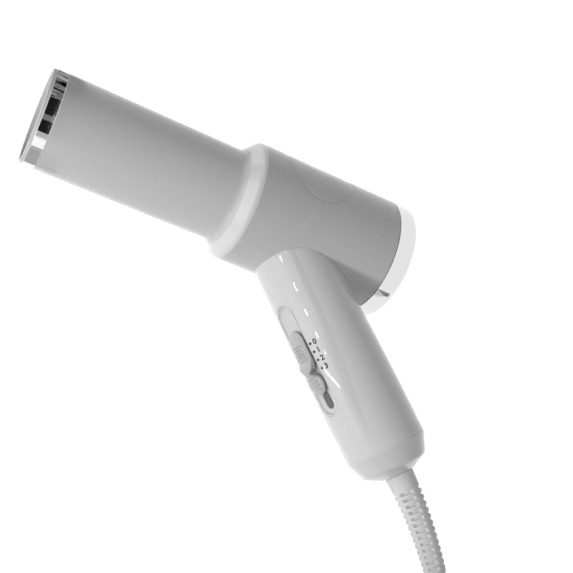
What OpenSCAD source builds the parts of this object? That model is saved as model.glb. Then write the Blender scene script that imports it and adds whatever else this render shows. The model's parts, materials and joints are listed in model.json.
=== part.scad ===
// Hair dryer with a long round nozzle, a raked round handle and a two-slider switch.
// Every piece is drawn in the dryer's own axes: X runs along the barrel to the rear, Y to the
// top of the dryer and Z to its side, with x = 0 at the seam between collar and body.
// lie() then lays the dryer on its side, on a surface at z = 0.

/* [Barrel] */
// Outside diameter of the nozzle tube
tube_d = 53; // [48:0.5:56]
// Length of the nozzle from its lip to the seam behind the collar
nozzle_len = 120; // [100:1:150]
// Wall of the nozzle tube
tube_wall = 2.5; // [2:0.1:3]
// Width of the bright band round the mouth
band_w = 6.4; // [4:0.2:10]
// Length of the bare lip in front of the band
lip_len = 1.8; // [1:0.2:3]
// Depth of the open mouth in front of the outlet grille
mouth_len = 10; // [8:0.5:16]
// Length of the collar between nozzle and body
collar_len = 7.8; // [6.6:0.2:10]
// Radius of the collar's outer edge
collar_round = 4; // [2:0.5:4.5]
// Length of the tube's flare in front of the collar
flare_len = 4.4; // [3:0.2:6]
// Height that the flare rises above the tube
flare_rise = 2; // [1:0.1:2.6]
// Outside diameter of the body
body_d = 69.2; // [67:0.2:76]
// Length of the body between the collar and the rear ring
body_len = 85.6; // [84:0.2:100]
// Wall of the body
body_wall = 2.2; // [1.8:0.1:2.8]
// Length of the rear ring
rear_ring_len = 11.6; // [9:0.2:14]
// Radius of the rear ring's outer edge
rear_round = 5.5; // [3:0.5:7]
// Diameter of the air intake in the rear ring
intake_d = 54; // [48:0.5:58]
// Wall of the hollow collar and rear ring
trim_wall = 2.2; // [1.8:0.1:2.6]
// Diameter of the round badge on the body
badge_d = 44; // [30:1:46]
// Turn of the badge from the top of the body towards the +Z side, in degrees
badge_turn = 57; // [50:1:90]

/* [Heater and fan] */
// Length of the insulating boards that carry the heating wire
board_len = 72; // [50:1:80]
// Width across the insulating boards
board_w = 34; // [30:0.5:38]
// Diameter of the heating wire's windings' own section
wire_d = 1.2; // [0.8:0.1:1.6]
// Distance between windings
wire_pitch = 5; // [4:0.5:8]
// Diameter of the motor can
motor_d = 27.6; // [24:0.2:30]
// Length of the motor can
motor_len = 24; // [20:0.5:26]
// Diameter of the motor shaft
shaft_d = 3; // [2.4:0.1:4]
// Length of the fan along the barrel
fan_len = 10.5; // [8:0.5:11]
// Number of fan blades
fan_blades = 7; // [5:1:11]
// Pitch of the fan blades, in degrees
blade_pitch = 52; // [40:1:60]
// Number of fixed vanes that carry the motor
vanes = 6; // [5:1:9]

/* [Handle] */
// Diameter of the handle at its widest
handle_d = 46; // [44:0.2:50]
// Diameter of the handle where it meets the body
handle_top_d = 42; // [40:0.2:44]
// Length of the handle from the barrel's axis to its end
handle_len = 162; // [156:1:180]
// Rake of the handle from the barrel's axis, in degrees
handle_rake = 51.6; // [48:0.2:60]
// Distance behind the collar seam at which the handle's axis meets the barrel's
handle_x = 18.6; // [17:0.2:22]
// Wall of the handle
handle_wall = 2.2; // [1.8:0.1:2.6]
// Length of the end cap
cap_len = 15.6; // [14:0.2:20]
// Length of the cap's sloping side
cap_slope = 11; // [8:0.2:12]
// Diameter at the lower end of the cap's sloping side
cap_end_d = 36; // [32:0.5:38]

/* [Switch] */
// Distance from the barrel's axis to the upper end of the switch recess
recess_top = 53.4; // [50:0.2:56]
// Width of the switch recess
recess_w = 15; // [14:0.2:16]
// Depth of the channel in the recess
channel_depth = 2.6; // [2:0.1:3.2]
// Length of the speed slider
speed_len = 24.6; // [22:0.2:26]
// Distance between speed positions
speed_step = 4.8; // [4:0.1:4.8]
// Number of speed positions
speed_positions = 4; // [3:1:4]
// Length of the heat slider
heat_len = 12.2; // [10:0.2:13]
// Travel of the heat slider
heat_travel = 11; // [6:0.5:12]
// Height of the speed slider's lower end above the handle
speed_rise = 3; // [2:0.1:4]
// Height of the heat slider above the handle
heat_rise = 1.8; // [1:0.1:2.4]

/* [Cord and plug] */
// Diameter of the mains cord
cord_d = 7; // [6:0.1:8]
// Diameter of the strain relief at the handle
relief_d = 16; // [13:0.5:18]
// Diameter of the strain relief at its free end
relief_end_d = 11.6; // [9:0.2:13]
// Mean diameter of the coiled cord
coil_d = 77; // [70:1:90]
// Diameter of a plug pin
pin_d = 4.8; // [4:0.1:5]
// Length of a plug pin outside the plug
pin_len = 19; // [17:0.5:20]
// Distance between the plug pins
pin_gap = 19; // [18:0.5:20]
// Width of the plug
plug_w = 35; // [32:0.5:40]
// Thickness of the plug
plug_t = 25; // [20:0.5:28]

/* [Fits] */
// Gap between pieces that seat on each other
seat = 0.1; // [0.05:0.01:0.2]
// Width of a seam that shows
seam = 0.3; // [0.2:0.05:0.5]
// Gap round a sliding piece
slide = 0.35; // [0.3:0.05:0.5]
// Radial clearance of the motor shaft
run = 0.05; // [0.02:0.01:0.08]

/* [Hidden] */
$fn = 64;

// Barrel
tube_r = tube_d / 2;
tube_in = tube_r - tube_wall;
mouth_r = tube_in + 0.9;             // the mouth is bored out as far as the grille's seat
step_r = tube_r - 0.6;               // the tube is stepped down where the collar holds it
band_r = tube_r - 0.6;               // floor of the rebate that the bright band lies in
band_x = -nozzle_len + lip_len;
grille_x = -nozzle_len + mouth_len;
grille_t = 2.4;
sleeve_wall = 0.6;
sleeve_x = grille_x + grille_t + 1;
body_r = body_d / 2;
body_in = body_r - body_wall;
spigot_wall = 2.4;
spigot_len = 6;
flange_r = body_in - spigot_wall - 2 * seat;
flange_t = 2;
web = 1.5;                           // carries a spigot across the mouth of a hollow
flare_r = (pow(flare_len, 2) + pow(flare_rise, 2)) / (2 * flare_rise);
flare_turn = 2 * atan2(flare_rise, flare_len);
flare_x = -collar_len - flare_len;
collar_rim = 0.6;                    // full-width end of the collar, at the seam
collar_tip = 0.4;                    // bevel of the collar's front edge
collar_hollow = collar_len - 1.5 * trim_wall;
ring_r = body_r + 0.1;
rear_x = body_len + seam;
ring_end = rear_x + rear_ring_len;
intake_r = intake_d / 2;
rear_spigot = 4;
rear_spigot_in = body_in - 1.8;
filter_x = body_len - rear_spigot - 1;
grille_rear_x = rear_x + 2.2;

// Heater and fan
boards_inset = 6;
boards_x = -boards_inset - board_len;
board_t = 0.8;
winding_end = 4;                     // bare length of the boards at each end
windings = floor((board_len - 2 * winding_end) / wire_pitch);
duct_wall = 1.8;
duct_end = filter_x - seat;
duct_len = 38;
duct_x = duct_end - duct_len;
vane_t = 1.4;
vane_inset = 2;
duct_in = body_in - seat - duct_wall;
motor_r = motor_d / 2;
hub_wall = 1.4;
motor_x = duct_x - vane_inset;
motor_boss_r = 4;
motor_boss_len = 1.6;
shaft_inset = 4;
fan_inset = 1.5;
fan_x = duct_end - fan_inset - fan_len;
fan_gap = 0.6;
fan_r = duct_in - fan_gap;
hub_step = 4;
fan_hub_r = motor_r - hub_step;
shaft_r = shaft_d / 2;

// Handle: u runs down its axis, v to its rear face
handle_widest = 110;
handle_start = 18;
cap_u = handle_len - cap_len;
track_t = 5.6;
track_wall = 1.2;
speed_travel = speed_step * (speed_positions - 1);
speed_top = recess_top + track_wall + slide + speed_travel;
speed_end = speed_top + speed_len;
heat_top = speed_end + slide;
heat_end = heat_top + heat_len;
recess_end = heat_end + heat_travel + slide + track_wall;
rim = 0.25;                          // the track's rim lies this far under the handle's face
stem_w = 3.4;
stem_len = 4;
switch_w = 12;
switch_d = 9;
screw_r = 1.4;
screw_gap = 0.02;
handle_screw_len = 18;
handle_screw_head = 2.7;
clamp_screw_len = 9;
clamp_screw_head = 2.6;
boss_r = 3.6;
boss_turn = 50;
boss_v = -(handle_top_d / 2 - handle_wall - 2.4);
boss_reach = 10;                     // how far the bosses stand into the body
boss_seat = (body_in - boss_reach) / sin(handle_rake) - handle_screw_head - 0.5;
wire_hole_v = -9;
wire_r = 1.1;
wire_gap = 3.2;                      // half the distance between the two wires of a pair
terminal_len = 4;
terminal_w = 3.2;
terminal_t = 0.8;
terminal_pitch = 5;

function handle_r(u) = handle_d / 2
    - (handle_d - handle_top_d) / 2 * pow((u - handle_widest) / (handle_widest - handle_start), 2);
function handle_outline(u0, u1, inset, n = 12) =
    [for (i = [0:n]) let (u = u0 + (u1 - u0) * i / n) [handle_r(u) - inset, u]];
cap_r = handle_r(cap_u);

// Lean at which the body and the handle's lower end both touch the surface
contact_u = cap_u + 1;
contact_r = handle_r(contact_u);
contact_y = contact_u * sin(handle_rake);
function lean_for(r) = asin(ring_r / norm([contact_y, r])) - atan(r / contact_y);
function seen_r(a) = contact_r
    * sqrt(pow(cos(handle_rake) * sin(a), 2) + pow(cos(a), 2)) / cos(a);
lean = lean_for(seen_r(lean_for(contact_r)));

// Shift that puts the dryer, without its cord, over the middle of its own box
cap_points = [[cap_r, cap_u], [cap_end_d / 2, cap_u + seam + cap_slope], [0, handle_len]];
function cap_reach(along) =
    max([for (p = cap_points) p[1] * along + p[0] * sqrt(1 - along * along)]);
far_x = handle_x + cap_reach(cos(handle_rake));
low_y = -cap_reach(sin(handle_rake) * cos(lean));
shift = [(nozzle_len - far_x) / 2, -(ring_r + low_y) / 2, ring_r];

function placed(p) = [
    p[0] + shift[0],
    p[1] * cos(lean) - p[2] * sin(lean) + shift[1],
    p[1] * sin(lean) + p[2] * cos(lean) + shift[2]];
function on_axis(u) = placed([handle_x + u * cos(handle_rake), -u * sin(handle_rake), 0]);

// Cord, in the frame of the surface it lies on
relief_inside = 10;
relief_ribs = 13;
coil_at = [158, -184];
coil_lift = 0.8;
coil_w = 14;
coil_h = 21;
cord_lead = [[147, -120, 9], [150, -124, 7.2], [154, -128.6, 5.4], [160, -133.6, 4],
    [167, -138.8, 3.5], [175, -144.5, 3.6], [182, -149.6, 4]];
cord_tail = [[160, -222.6, 25], [150, -222.8, 25], [140, -223, 24.2], [130, -223.4, 21.5],
    [120, -224, 17.5], [110, -224, 14.2], [101, -224, 12.8], [94, -224, 12.5]];
plug_at = [94, -224];
boot_len = 24;
boot_r = 7.5;
boot_wall = 1.5;
plug_len = 33;
plug_edge = 3;
plug_taper = 8;
cord_sides = 10;

// ---- placing ----
module lie() translate(shift) rotate([lean, 0, 0]) children();
module along_x() rotate([0, 90, 0]) children();
module on_handle() translate([handle_x, 0, 0]) rotate([0, 0, -handle_rake]) children();
module around(n) for (i = [0:n - 1]) rotate([360 * i / n, 0, 0]) children();

// ---- shapes that repeat ----
// A solid of revolution about X, its outline given as [radius, x]
module turned(outline) along_x() rotate_extrude() polygon(outline);
module tube_x(x0, x1, r_out, r_in)
    turned([[r_in, x0], [r_out, x0], [r_out, x1], [r_in, x1]]);
module rod_x(x0, x1, r) translate([x0, 0, 0]) along_x() cylinder(h = x1 - x0, r = r);
// A bar with round ends along X, standing on Y from y0 to y1
module oblong(x0, x1, w, y0, y1)
    translate([0, y1, 0]) rotate([90, 0, 0]) linear_extrude(y1 - y0) {
        translate([x0 + w / 2, 0]) circle(d = w);
        translate([x1 - w / 2, 0]) circle(d = w);
        translate([x0 + w / 2, -w / 2]) square([x1 - x0 - w, w]);
    }
// A round bar from point a to point b
module rod(a, b, r) {
    d = b - a;
    translate(a) rotate([0, acos(d[2] / norm(d)), atan2(d[1], d[0])]) cylinder(h = norm(d), r = r);
}
// A wire that bends smoothly through a list of points
module wire(points, r) {
    path = smooth(points, 4);
    swept(path, [for (p = path) r], 8);
}
// A pan-head screw whose head stands on y = 0 and whose shank runs to -Y
module screw(r, head_r, length) {
    rotate([90, 0, 0]) cylinder(h = length, r = r);
    rotate([-90, 0, 0]) difference() {
        cylinder(h = head_r * 0.7, r = head_r);
        for (a = [0, 90]) rotate([0, 0, a])
            translate([-head_r * 0.6, -0.35, head_r * 0.35]) cube([head_r * 1.2, 0.7, head_r]);
    }
}

// ---- a tube swept along points ----
function unit(v) = v / norm(v);
function tangent(p, i) = unit(p[min(i + 1, len(p) - 1)] - p[max(i - 1, 0)]);
function side_of(t) = unit(cross(t, [0, 0, 1]));
function ring_at(c, t, r, n) = let (s = side_of(t), w = cross(s, t))
    [for (k = [0:n - 1]) c + r * (cos(360 * k / n) * s + sin(360 * k / n) * w)];
module swept(path, radii, n) {
    m = len(path);
    points = [for (i = [0:m - 1]) each ring_at(path[i], tangent(path, i), radii[i], n)];
    sides = [for (i = [0:m - 2], k = [0:n - 1]) let (k2 = (k + 1) % n)
        each [[i * n + k, (i + 1) * n + k, (i + 1) * n + k2],
              [i * n + k, (i + 1) * n + k2, i * n + k2]]];
    ends = [[for (k = [0:n - 1]) k], [for (k = [n - 1:-1:0]) (m - 1) * n + k]];
    polyhedron(points = points, faces = concat(sides, ends), convexity = 6);
}
// Smooth curve through points (Catmull-Rom), k steps to a stretch
function through(p, i, t) = let (
        a = p[max(i - 1, 0)], b = p[i], c = p[i + 1], d = p[min(i + 2, len(p) - 1)])
    0.5 * (2 * b + (c - a) * t + (2 * a - 5 * b + 4 * c - d) * t * t
        + (3 * b - a - 3 * c + d) * t * t * t);
function smooth(p, k) = concat(
    [for (i = [0:len(p) - 2], j = [0:k - 1]) through(p, i, j / k)], [p[len(p) - 1]]);
function bezier(a, b, c, d, t) = pow(1 - t, 3) * a + 3 * pow(1 - t, 2) * t * b
    + 3 * (1 - t) * t * t * c + t * t * t * d;

// ---- nozzle ----
module nozzle_tube() color("gainsboro") lie() turned([
    [tube_in, flange_t], [tube_in, grille_x], [mouth_r, grille_x], [mouth_r, -nozzle_len + 0.4],
    [mouth_r + 0.3, -nozzle_len], [band_r - 0.4, -nozzle_len], [band_r, -nozzle_len + 0.4],
    [band_r, band_x + band_w], [tube_r, band_x + band_w],
    for (k = [0:5])
        [tube_r + flare_r * (1 - cos(k * flare_turn / 5)), flare_x + flare_r * sin(k * flare_turn / 5)],
    [step_r, -collar_len], [step_r, seat], [flange_r, seat], [flange_r, flange_t]]);
module nozzle_ring() color("silver") lie() turned([
    [band_r + seat / 2, band_x], [tube_r - 0.3, band_x], [tube_r, band_x + 0.3],
    [tube_r, band_x + band_w - seat - 0.2], [tube_r - 0.2, band_x + band_w - seat],
    [band_r + seat / 2, band_x + band_w - seat]]);
module outlet_grille() color("dimgray") lie() {
    r = tube_in - seat / 2;
    bar = 1.6;
    tube_x(grille_x, grille_x + grille_t, r, r - 2);
    for (k = [1:2]) tube_x(grille_x, grille_x + grille_t, r * k / 3 + bar, r * k / 3);
    intersection() {
        rod_x(grille_x, grille_x + grille_t, r - 1);
        around(3) translate([grille_x, -r, -bar / 2]) cube([grille_t, 2 * r, bar]);
    }
}
module heat_sleeve() color("tan") lie()
    tube_x(sleeve_x, 0, tube_in - seat, tube_in - seat - sleeve_wall);
module heater_boards() color("burlywood") lie() {
    r = tube_in - seat - sleeve_wall - seat;
    for (a = [0, 90]) rotate([a, 0, 0]) {
        translate([boards_x, -board_w / 2, -board_t / 2]) cube([board_len, board_w, board_t]);
        for (x = [boards_x, boards_x + board_len - 2])
            translate([x, -r, -board_t / 2]) cube([2, 2 * r, board_t]);
    }
}
module heater_wire() color("slategray") lie()
    for (i = [0:windings - 1]) {
        x = boards_x + winding_end + wire_d / 2 + (i + 0.08) * wire_pitch;
        along_x() translate([0, 0, x]) rotate_extrude()
            translate([board_w / 2 + wire_d / 2 + seat / 2, 0]) circle(d = wire_d, $fn = 16);
    }
module thermal_cutout() color("silver") lie()
    translate([boards_x + board_len - 12, board_t / 2 + seat, board_t / 2 + 3]) {
        cube([9, 3.4, 6]);
        translate([4.5, 3.4, 3]) rotate([-90, 0, 0]) cylinder(h = 1.6, r = 2.6);
    }
module thermal_fuse() color("gold") lie() {
    y = -board_t / 2 - seat - 1.8;
    rod([boards_x + board_len - 14, y, -5.5], [boards_x + board_len - 4, y, -5.5], 1.8);
    rod([boards_x + board_len - 18, y, -5.5], [boards_x + board_len - 14, y, -5.5], 0.5);
    rod([boards_x + board_len - 4, y, -5.5], [boards_x + board_len, y, -5.5], 0.5);
}

// ---- collar and body ----
module collar() color("white") lie() {
    bore = step_r + seat / 2;
    front = -collar_len + seat;
    foot = tube_r + flare_rise;
    difference() {
        turned([
            [bore, 0], [bore, front], [foot, front], [foot + collar_tip, front + collar_tip / 3],
            for (a = [45:15:90]) [body_r - collar_round * (1 - sin(a)),
                -collar_rim - collar_round * cos(a)],
            [body_r, -0.3], [body_r - 0.3, 0]]);
        hollow(bore + trim_wall, body_in - spigot_wall, -web, 1) turned([
            [0, -collar_hollow], [bore + trim_wall, -collar_hollow],
            [bore + trim_wall + collar_hollow - web, -web], [0, -web]]);
    }
    tube_x(-1, spigot_len, body_in - seat, body_in - spigot_wall);
}
// What a hollow trim ring is cut by: the given form and a mouth from x0 to x1, outside a sleeve
module hollow(sleeve_r, mouth_out, x0, x1) difference() {
    union() {
        children();
        rod_x(x0 - 0.1, x1, mouth_out);
    }
    rod_x(-collar_len, ring_end, sleeve_r);
}
// Ways through the body's underside for the leads and for the screws that hold the handle
module handle_bosses(r, u0, u1)
    for (s = [-1, 1]) rotate([s * boss_turn, 0, 0])
        translate([0, boss_v, 0]) rod_x(u0, u1, r);
module badge_bore(r) rotate([badge_turn, 0, 0]) translate([badge_x, 0, 0])
    rotate([-90, 0, 0]) cylinder(h = body_r * 2, r = r);
badge_x = 33.5;
badge_sink = 1;
module body_shell() color("lightgray") lie() difference() {
    union() {
        turned([[body_in, seam], [body_r - 0.3, seam], [body_r, seam + 0.3],
            [body_r, body_len - 0.3], [body_r - 0.3, body_len], [body_in, body_len]]);
        intersection() {
            on_handle() handle_bosses(boss_r, boss_seat, 50);
            rod_x(0, body_len, body_in + 0.5);
        }
    }
    on_handle() {
        translate([0, wire_hole_v, 0]) rod_x(handle_start, 60, 5);
        handle_bosses(screw_r + seat, handle_start, 60);
    }
    intersection() {
        badge_bore(badge_d / 2 + seat);
        tube_x(0, body_len, body_r + 1, body_r - badge_sink);
    }
}
module badge() color("whitesmoke") lie() intersection() {
    badge_bore(badge_d / 2);
    tube_x(0, body_len, body_r - 0.2, body_r - badge_sink + seat);
}

// ---- motor and fan ----
module fan_duct() color("dimgray") lie() {
    hub = motor_r + seat + hub_wall;
    tube_x(duct_x, duct_end, body_in - seat, duct_in);
    tube_x(duct_x, motor_x + motor_len, hub, motor_r + seat);
    sink = hub_wall / 3;
    around(vanes) translate([duct_x + vane_inset, hub - sink, -vane_t / 2])
        cube([motor_len - 3 * vane_inset, duct_in - hub + 2 * sink, vane_t]);
}
module motor() color("silver") lie() difference() {
    union() {
        rod_x(motor_x, motor_x + motor_len, motor_r);
        rod_x(motor_x + motor_len - 1, motor_x + motor_len + motor_boss_len, motor_boss_r);
    }
    rod_x(motor_x + shaft_inset - 1, motor_x + motor_len + 2 * motor_boss_len, shaft_r + run);
}
module motor_board() color("seagreen") lie() {
    rod_x(motor_x - seat - 1.6, motor_x - seat, motor_r - 1);
    around(4) translate([motor_x - seat - 4.4, 6.4, -1.4]) cube([3, 4.4, 2.8]);
}
module motor_shaft() color("lightsteelblue") lie()
    rod_x(motor_x + shaft_inset, fan_x + fan_len - 1, shaft_r);
module fan() color("darkslategray") lie() {
    difference() {
        turned([[0, fan_x], [fan_hub_r, fan_x], [fan_hub_r, fan_x + fan_len - 3],
            [fan_hub_r - 3, fan_x + fan_len], [0, fan_x + fan_len]]);
        rod_x(fan_x - 1, fan_x + fan_len - 1 + seat, shaft_r + 0.02);
    }
    intersection() {
        tube_x(fan_x + 0.4, fan_x + fan_len - 0.4, fan_r, fan_hub_r - 1);
        around(fan_blades) translate([fan_x + fan_len / 2, 0, 0]) rotate([0, blade_pitch, 0])
            translate([-fan_len, 0, -0.7]) cube([2 * fan_len, fan_r + 2, 1.4]);
    }
}

// ---- rear end ----
module intake_filter() color("gray") lie() {
    r = body_in - 0.3;
    t = 0.8;
    bar = 0.6;
    pitch = 6;
    n = floor(r / pitch);
    tube_x(filter_x, filter_x + t, r, r - 2.5);
    intersection() {
        rod_x(filter_x, filter_x + t, r - 1);
        for (a = [0, 90], i = [-n:n]) rotate([a, 0, 0])
            translate([filter_x, -r, i * pitch - bar / 2]) cube([t, 2 * r, bar]);
    }
}
module rear_ring() color("silver") lie() {
    round_x = ring_end - rear_round;
    round_r = ring_r - rear_round;
    difference() {
        turned(concat(
            [[intake_r, rear_x], [ring_r - 0.2, rear_x], [ring_r, rear_x + 0.2]],
            [for (a = [0:11.25:90]) [round_r + rear_round * cos(a), round_x + rear_round * sin(a)]],
            [[intake_r + 0.8, ring_end], [intake_r, ring_end - 0.8]]));
        hollow(intake_r + trim_wall, rear_spigot_in, rear_x - 1, rear_x + web + 0.1) turned(concat(
            [[0, rear_x + web], [ring_r - trim_wall, rear_x + web]],
            [for (a = [0:22.5:90]) [round_r + (rear_round - trim_wall) * cos(a),
                round_x + (rear_round - trim_wall) * sin(a)]],
            [[0, ring_end - trim_wall]]));
    }
    tube_x(filter_x + 1, rear_x + 0.5, body_in - seat, rear_spigot_in);
}
module rear_grille() color("dimgray") lie() {
    r = intake_r - seat;
    t = 1.8;
    bar = 1.3;
    ribs = 6;
    tube_x(grille_rear_x, grille_rear_x + t + 1.2, r, r - 2);
    rod_x(grille_rear_x, grille_rear_x + t, 3.4);
    for (i = [1:ribs]) tube_x(grille_rear_x, grille_rear_x + t,
        3 + (r - 4) * i / (ribs + 0.6) + bar, 3 + (r - 4) * i / (ribs + 0.6));
    around(8) translate([grille_rear_x, 2, -bar / 2]) cube([t, r - 3, bar]);
}

// ---- handle ----
module barrel_void(gap) tube_x(-10, body_len + 20, body_r + gap, 0);
module handle_shell() color("white") lie() difference() {
    on_handle() union() {
        difference() {
            turned(concat([[0, handle_start]], handle_outline(handle_start, cap_u, 0), [[0, cap_u]]));
            turned(concat([[0, 0]], handle_outline(handle_start, cap_u, handle_wall),
                [[0, cap_u + 1]]));
            oblong(recess_top - seat, recess_end + seat, recess_w + 2 * seat, -handle_d, -5);
        }
        difference() {
            intersection() {
                handle_bosses(boss_r, handle_start, 50);
                turned([[0, handle_start], [handle_top_d / 2 - 0.8, handle_start],
                    [handle_top_d / 2 - 0.8, 60], [0, 60]]);
            }
            handle_bosses(screw_r, 0, 60);
        }
    }
    barrel_void(seat);
}
module handle_screws() color("silver") lie() on_handle()
    for (s = [-1, 1]) rotate([s * boss_turn, 0, 0]) translate([boss_seat - seat / 2, boss_v, 0])
        rotate([0, 0, 90]) screw(screw_r - screw_gap, handle_screw_head, handle_screw_len);
module end_cap() color("white") lie() on_handle() difference() {
    union() {
        difference() {
            union() {
                turned([[0, cap_u + seam], [cap_r - 0.2, cap_u + seam], [cap_r, cap_u + seam + 0.2],
                    [cap_end_d / 2 + 0.5, cap_u + seam + cap_slope - 0.5],
                    [cap_end_d / 2 - 0.6, cap_u + seam + cap_slope + 0.6],
                    [relief_d / 2 + 1.5, handle_len], [0, handle_len]]);
                tube_x(cap_u - 5, cap_u + 1, cap_r - handle_wall - seat, cap_r - handle_wall - 2);
            }
            turned([[0, cap_u - 6], [cap_r - handle_wall - 2, cap_u - 6],
                [cap_r - handle_wall - 2, cap_u + 1.4], [relief_flange_r + seat, cap_u + 6],
                [relief_flange_r + seat, relief_seat], [relief_neck_r + seat, relief_seat],
                [relief_neck_r + seat, handle_len + 1], [0, handle_len + 1]]);
        }
        translate([clamp_u, -cord_d / 2, -saddle_w / 2]) cube([saddle_len, saddle_t, saddle_w]);
        for (s = [-1, 1]) translate([clamp_u + 1, saddle_t - cord_d / 2 - 4, s * clamp_z - 2.5])
            cube([cap_u + 7 - clamp_u - 1, 4, 5]);
    }
    rod_x(clamp_u - 1, clamp_u + saddle_len + 1, cord_d / 2 + seat / 2);
    translate([clamp_u - 1, -cord_d, -cord_d / 2 - seat / 2])
        cube([saddle_len + 2, cord_d, cord_d + seat]);
    clamp_holes(screw_r);
}
clamp_u = cap_u - 16;
clamp_z = 9.4;
clamp_t = 3;
saddle_len = 7;
saddle_t = 10;
saddle_w = 26;
relief_flange_r = relief_d / 2;
relief_neck_r = relief_d / 2 - 2.6;
relief_seat = handle_len - 3;
module clamp_holes(r)
    for (s = [-1, 1]) translate([clamp_u + saddle_len / 2, -cord_d, s * clamp_z])
        rotate([-90, 0, 0]) cylinder(h = cord_d + 4, r = r);
module cord_clamp() color("white") lie() on_handle() difference() {
    translate([clamp_u, -cord_d / 2 - seat / 2 - clamp_t, -saddle_w / 2])
        cube([saddle_len, clamp_t, saddle_w]);
    clamp_holes(screw_r + seat);
}
module clamp_screws() color("silver") lie() on_handle()
    for (s = [-1, 1]) translate([clamp_u + saddle_len / 2, -cord_d / 2 - seat - clamp_t,
        s * clamp_z]) rotate([180, 0, 0])
            screw(screw_r - screw_gap, clamp_screw_head, clamp_screw_len);

// ---- switch ----
face = -handle_d / 2;
module in_handle_face(depth) intersection() {
    children();
    turned(concat([[0, recess_top - 5]],
        handle_outline(recess_top - 5, recess_end + 5, depth), [[0, recess_end + 5]]));
}
module switch_track() color("whitesmoke") lie() on_handle() difference() {
    in_handle_face(rim) oblong(recess_top, recess_end, recess_w, face, face + track_t);
    oblong(recess_top + track_wall, recess_end - track_wall, recess_w - 2 * track_wall,
        face - 1, face + channel_depth);
    oblong(speed_top - speed_travel + 9, heat_end + heat_travel - 2, stem_w + 2 * slide,
        face, face + track_t + 1);
}
slider_w = recess_w - 2 * track_wall - 2 * slide;
slider_floor = channel_depth - slide;
module slider(u0, u1, side) intersection() {
    translate([0, 0, -slider_w / 2]) linear_extrude(slider_w) polygon(side);
    oblong(u0, u1, slider_w, face - 6, face + 6);
}
module rib(u, height, r) translate([u, face - height, -slider_w * 0.36])
    cylinder(h = slider_w * 0.72, r = r, $fn = 24);
module stem(u) translate([u - stem_len / 2, face + slider_floor - 1, -stem_w / 2])
    cube([stem_len, track_t + 4 - slider_floor, stem_w]);
module speed_slider() color("silver") lie() on_handle() {
    slider(speed_top, speed_end, [
        [speed_top, face + slider_floor], [speed_top, face + 0.4],
        [speed_top + 4, face - 0.9], [speed_top + 9, face - 1.2],
        [speed_end - 7, face - 1.6], [speed_end - 4.4, face - speed_rise],
        [speed_end - 0.8, face - speed_rise], [speed_end, face - speed_rise + 0.8],
        [speed_end, face + slider_floor]]);
    for (i = [0:3]) rib(speed_end - 8.2 - i * 2.4, 1.25, 0.8);
    stem(speed_end - speed_len / 2);
}
module heat_slider() color("silver") lie() on_handle() {
    slider(heat_top, heat_end, [
        [heat_top, face + slider_floor], [heat_top, face - heat_rise + 0.6],
        [heat_top + 0.6, face - heat_rise], [heat_end - 3.4, face - heat_rise + 0.5],
        [heat_end, face + 0.8], [heat_end, face + slider_floor]]);
    for (i = [0:2]) rib(heat_top + 2.6 + i * 2.4, heat_rise - 0.2, 0.8);
    stem(heat_top + heat_len / 2);
}
// A closed switch box whose front wall is slotted for its slider's stem
module switch_box(u0, u1, slot0, slot1) {
    y = face + track_t + seat;
    difference() {
        translate([u0, y, -switch_w / 2]) cube([u1 - u0, switch_d, switch_w]);
        translate([slot0, y - 1, -stem_w / 2 - slide]) cube([slot1 - slot0, 6, stem_w + 2 * slide]);
    }
}
speed_stem = speed_end - speed_len / 2;
heat_stem = heat_top + heat_len / 2;
speed_box = [speed_stem - speed_travel - stem_len / 2 - 3, speed_stem + stem_len / 2 + 2];
heat_box = [heat_stem - stem_len / 2 - 2, heat_stem + heat_travel + stem_len / 2 + 3];
module speed_switch() color("black") lie() on_handle()
    switch_box(speed_box[0], speed_box[1], speed_box[0] + 2, speed_box[1] - 1);
module heat_switch() color("black") lie() on_handle()
    switch_box(heat_box[0], heat_box[1], heat_box[0] + 1, heat_box[1] - 2);
switch_back = face + track_t + seat + switch_d;
module switch_terminals() color("gold") lie() on_handle() {
    for (i = [0:3]) terminal(speed_box[0] + 3 + i * terminal_pitch);
    for (i = [0:2]) terminal(heat_box[0] + 3 + i * terminal_pitch);
}
module terminal(u) translate([u, switch_back + seat, -terminal_w / 2])
    cube([terminal_t, terminal_len, terminal_w]);

// ---- wiring ----
module supply_wires() color("saddlebrown") lie() on_handle()
    for (s = [-1, 1]) wire([
        [inner_cord_u - seat, 0, s * wire_gap / 2], [inner_cord_u - 4 * wire_r, -1, s * wire_gap / 2],
        [heat_box[0] + 3 + 3 * terminal_pitch, terminal_back + wire_r, s * wire_gap],
        [speed_box[0] + 6, terminal_back + wire_r, s * wire_gap]], wire_r);
terminal_back = switch_back + seat + terminal_len + 0.2;
inner_cord_u = clamp_u - 6;
module lead_wires() color("firebrick") lie() on_handle()
    for (s = [-1, 1]) wire([
        [speed_box[0] + 4, switch_back + 2.4 + wire_r, s * wire_gap],
        [lead_wire_u[2], wire_hole_v + wire_r, s * 2], [lead_wire_u[1], wire_hole_v + wire_r, s * 2],
        [lead_wire_u[0], wire_hole_v + 5, s * 3]], wire_r);
lead_wire_u = [14, 24, 46];          // where the leads end, leave the body and turn to the switches
module inner_cord() color("white") lie() on_handle()
    rod_x(inner_cord_u, handle_len - relief_inside - seat, cord_d / 2);

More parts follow.
